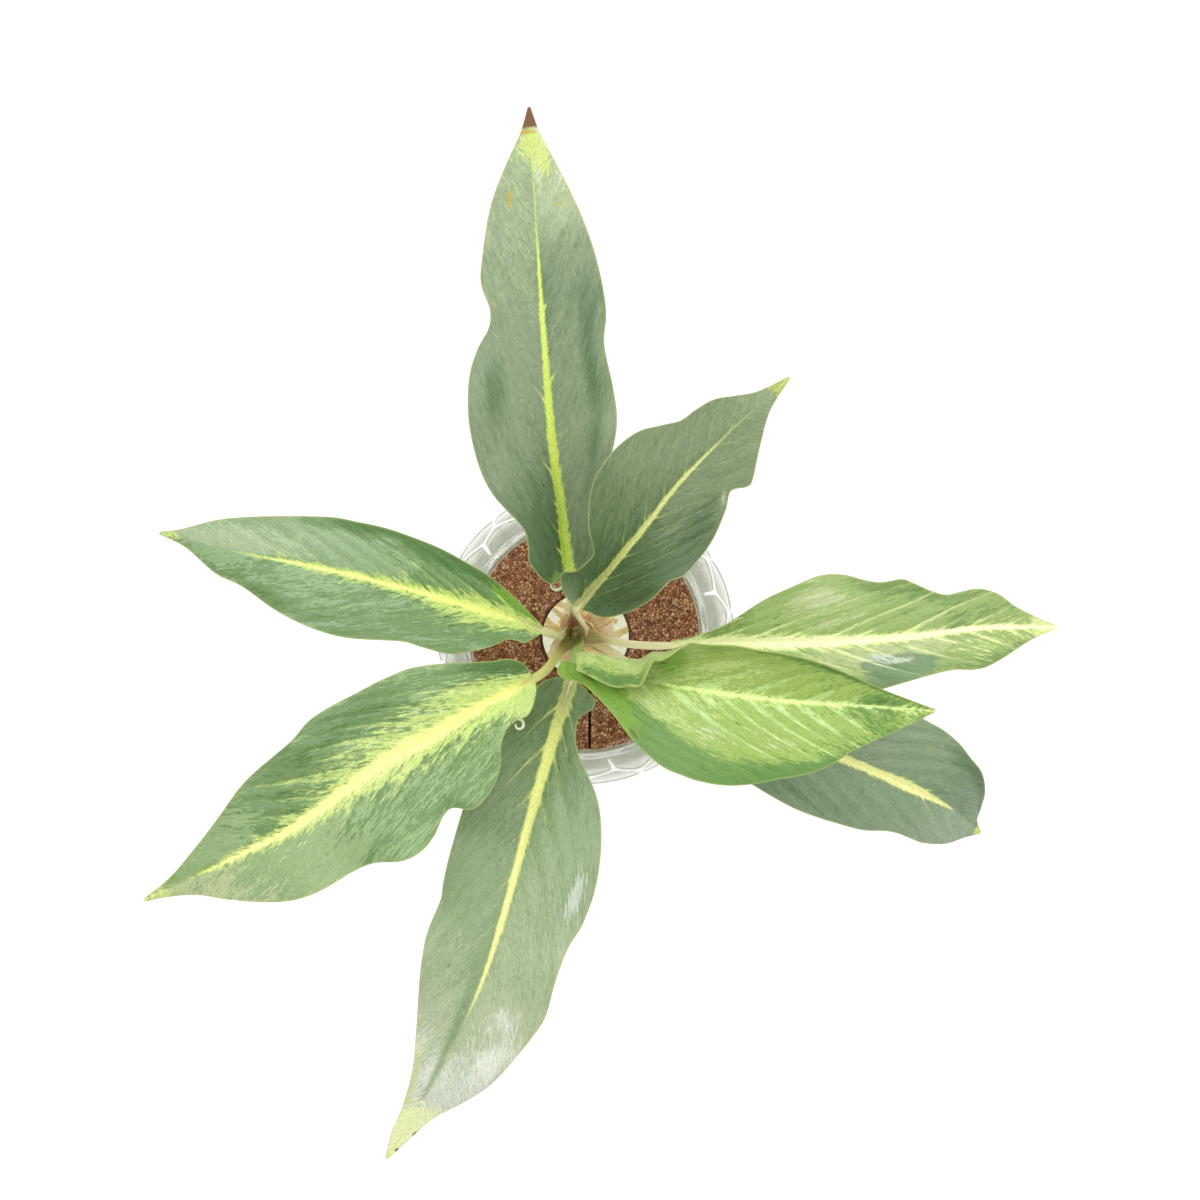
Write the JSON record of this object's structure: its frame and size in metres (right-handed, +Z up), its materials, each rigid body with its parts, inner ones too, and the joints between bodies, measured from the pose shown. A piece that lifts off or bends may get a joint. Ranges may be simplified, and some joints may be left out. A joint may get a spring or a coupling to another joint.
{
  "type": "potted grey ghost chinese evergreen",
  "caption": "Grey-green Chinese evergreen growing in water, held by a split cork lid in a clear glass jar with a raised net pattern.",
  "frame": {"origin": "middle of the jar's flat base, on the surface it stands on", "axes": "+Z up along the jar's axis; +X to the right and +Y to the top of the picture, which looks straight down"},
  "size_m": [0.3731, 0.4318, 0.2486],
  "materials": {
    "jar_glass": "polished",
    "cork": "matte",
    "water": "polished",
    "root": "satin",
    "cane": "satin",
    "dry_sheath": "matte",
    "petiole": "satin",
    "leaf": "satin",
    "young_leaf": "satin"
  },
  "bodies": {
    "root": {"glass_jar": "jar_glass", "cork_half_west": "cork", "cork_half_east": "cork", "water": "water", "roots": "root", "cane": "cane", "dry_sheath_east": "dry_sheath", "dry_sheath_north": "dry_sheath", "dry_sheath_south": "dry_sheath", "petiole_north": "petiole", "blade_north": "leaf", "petiole_northeast": "petiole", "blade_northeast": "leaf", "petiole_east": "petiole", "blade_east": "leaf", "petiole_young": "petiole", "blade_young": "young_leaf", "petiole_southeast": "petiole", "blade_southeast": "leaf", "petiole_south": "petiole", "blade_south": "leaf", "petiole_southwest": "petiole", "blade_southwest": "leaf", "petiole_west": "petiole", "blade_west": "leaf"}
  },
  "joints": []
}
